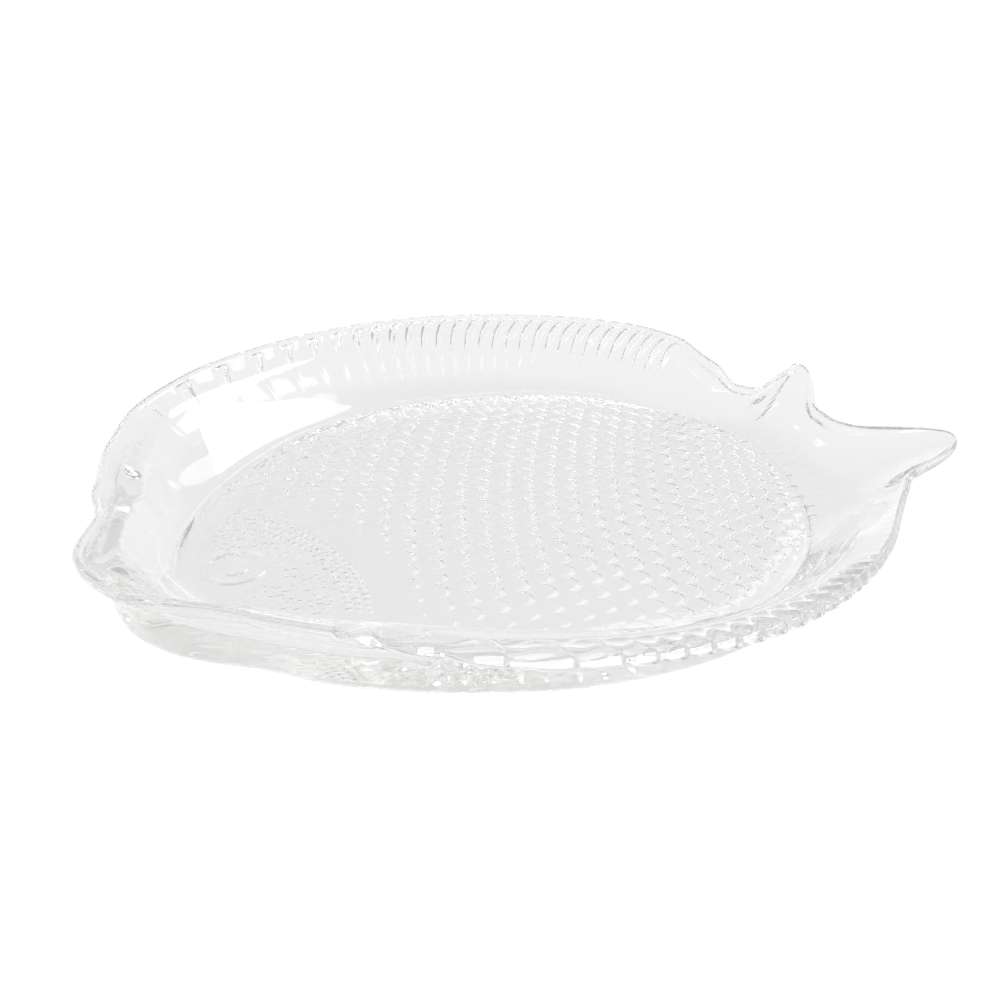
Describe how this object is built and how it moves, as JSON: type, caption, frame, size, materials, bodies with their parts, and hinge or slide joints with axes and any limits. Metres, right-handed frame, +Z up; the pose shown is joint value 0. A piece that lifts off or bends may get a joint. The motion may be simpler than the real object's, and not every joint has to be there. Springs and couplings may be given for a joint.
{
  "type": "fish-shaped glass dish",
  "caption": "Shallow serving dish of clear pressed glass in the outline of a fish, with a flat scaled well, fluted fin rims, a moulded eye and a forked tail.",
  "frame": {"origin": "on the table, under the middle of the dish's bounding box", "axes": "+Z up, +X from head to tail, +Y towards the back fin"},
  "size_m": [0.271, 0.2112, 0.0265],
  "materials": {
    "clear_glass": "clear pressed glass, fire-polished"
  },
  "bodies": {
    "root": {"well_floor": "clear_glass", "eye_boss": "clear_glass", "upper_lip": "clear_glass", "lower_jaw": "clear_glass", "cheek": "clear_glass", "back_fin_front": "clear_glass", "back_fin_crown": "clear_glass", "back_fin_middle": "clear_glass", "back_fin_rear": "clear_glass", "belly_fin_front": "clear_glass", "belly_fin_middle": "clear_glass", "belly_fin_rear": "clear_glass", "tail_upper_lobe": "clear_glass", "tail_lower_lobe": "clear_glass"}
  },
  "joints": []
}
